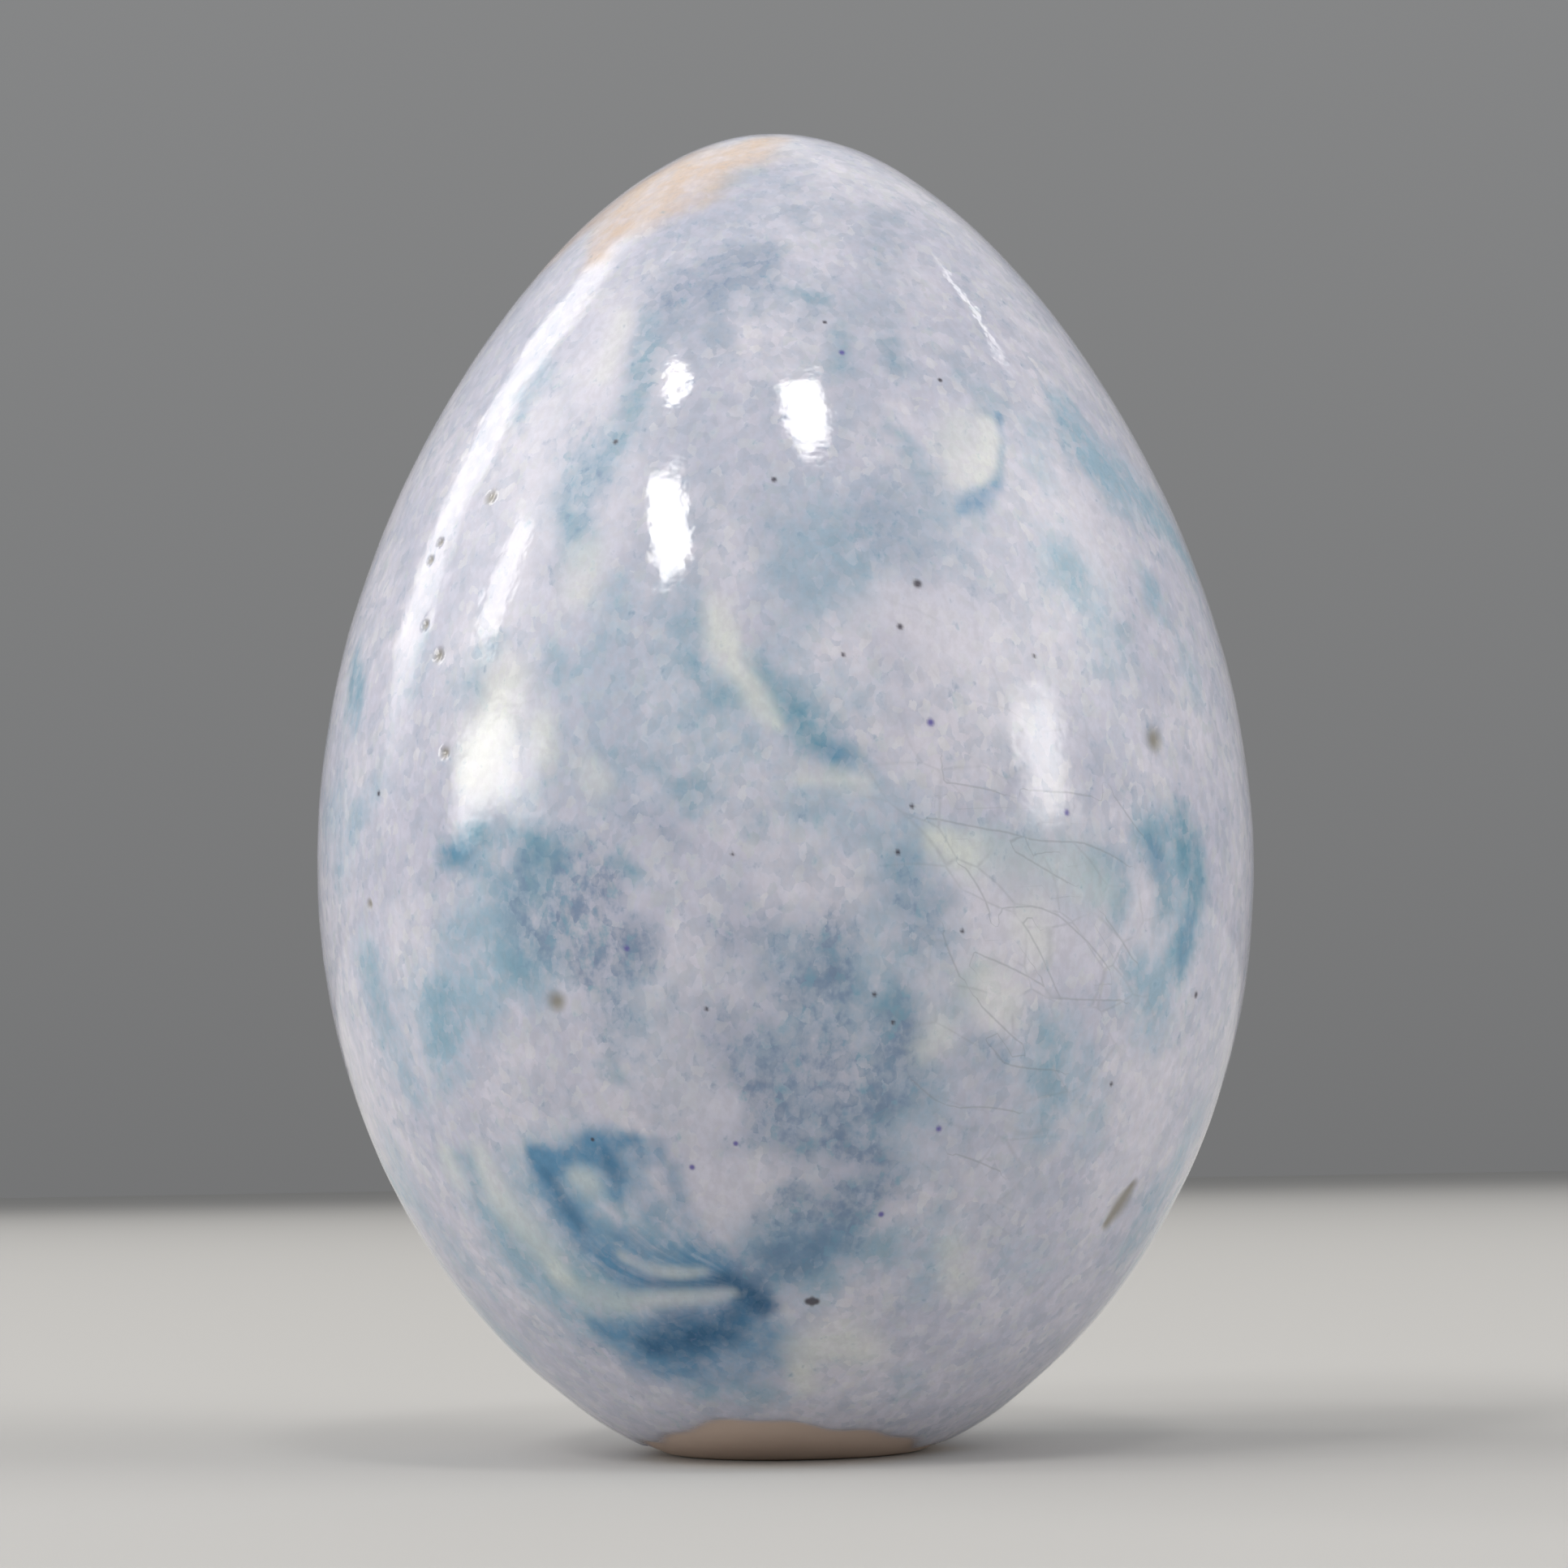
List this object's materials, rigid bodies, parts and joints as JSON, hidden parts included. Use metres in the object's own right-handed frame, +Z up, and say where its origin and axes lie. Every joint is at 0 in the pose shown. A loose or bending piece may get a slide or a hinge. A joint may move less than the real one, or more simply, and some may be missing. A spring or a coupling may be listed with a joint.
{
  "type": "glazed ceramic egg",
  "caption": "Hand-sized ceramic egg with a glossy marbled blue and lavender glaze, standing blunt end down on a small flat foot, for show or play.",
  "frame": {"origin": "middle of the flat foot, on the surface that the egg stands on", "axes": "+Z up along the egg's axis, from the foot to the tip; the side seen in the picture faces -Y"},
  "size_m": [0.0458, 0.0458, 0.065],
  "materials": {
    "glaze": "glossy marbled glaze, bare clay round the foot and beside the tip"
  },
  "bodies": {
    "root": {"egg": "glaze"}
  },
  "joints": []
}
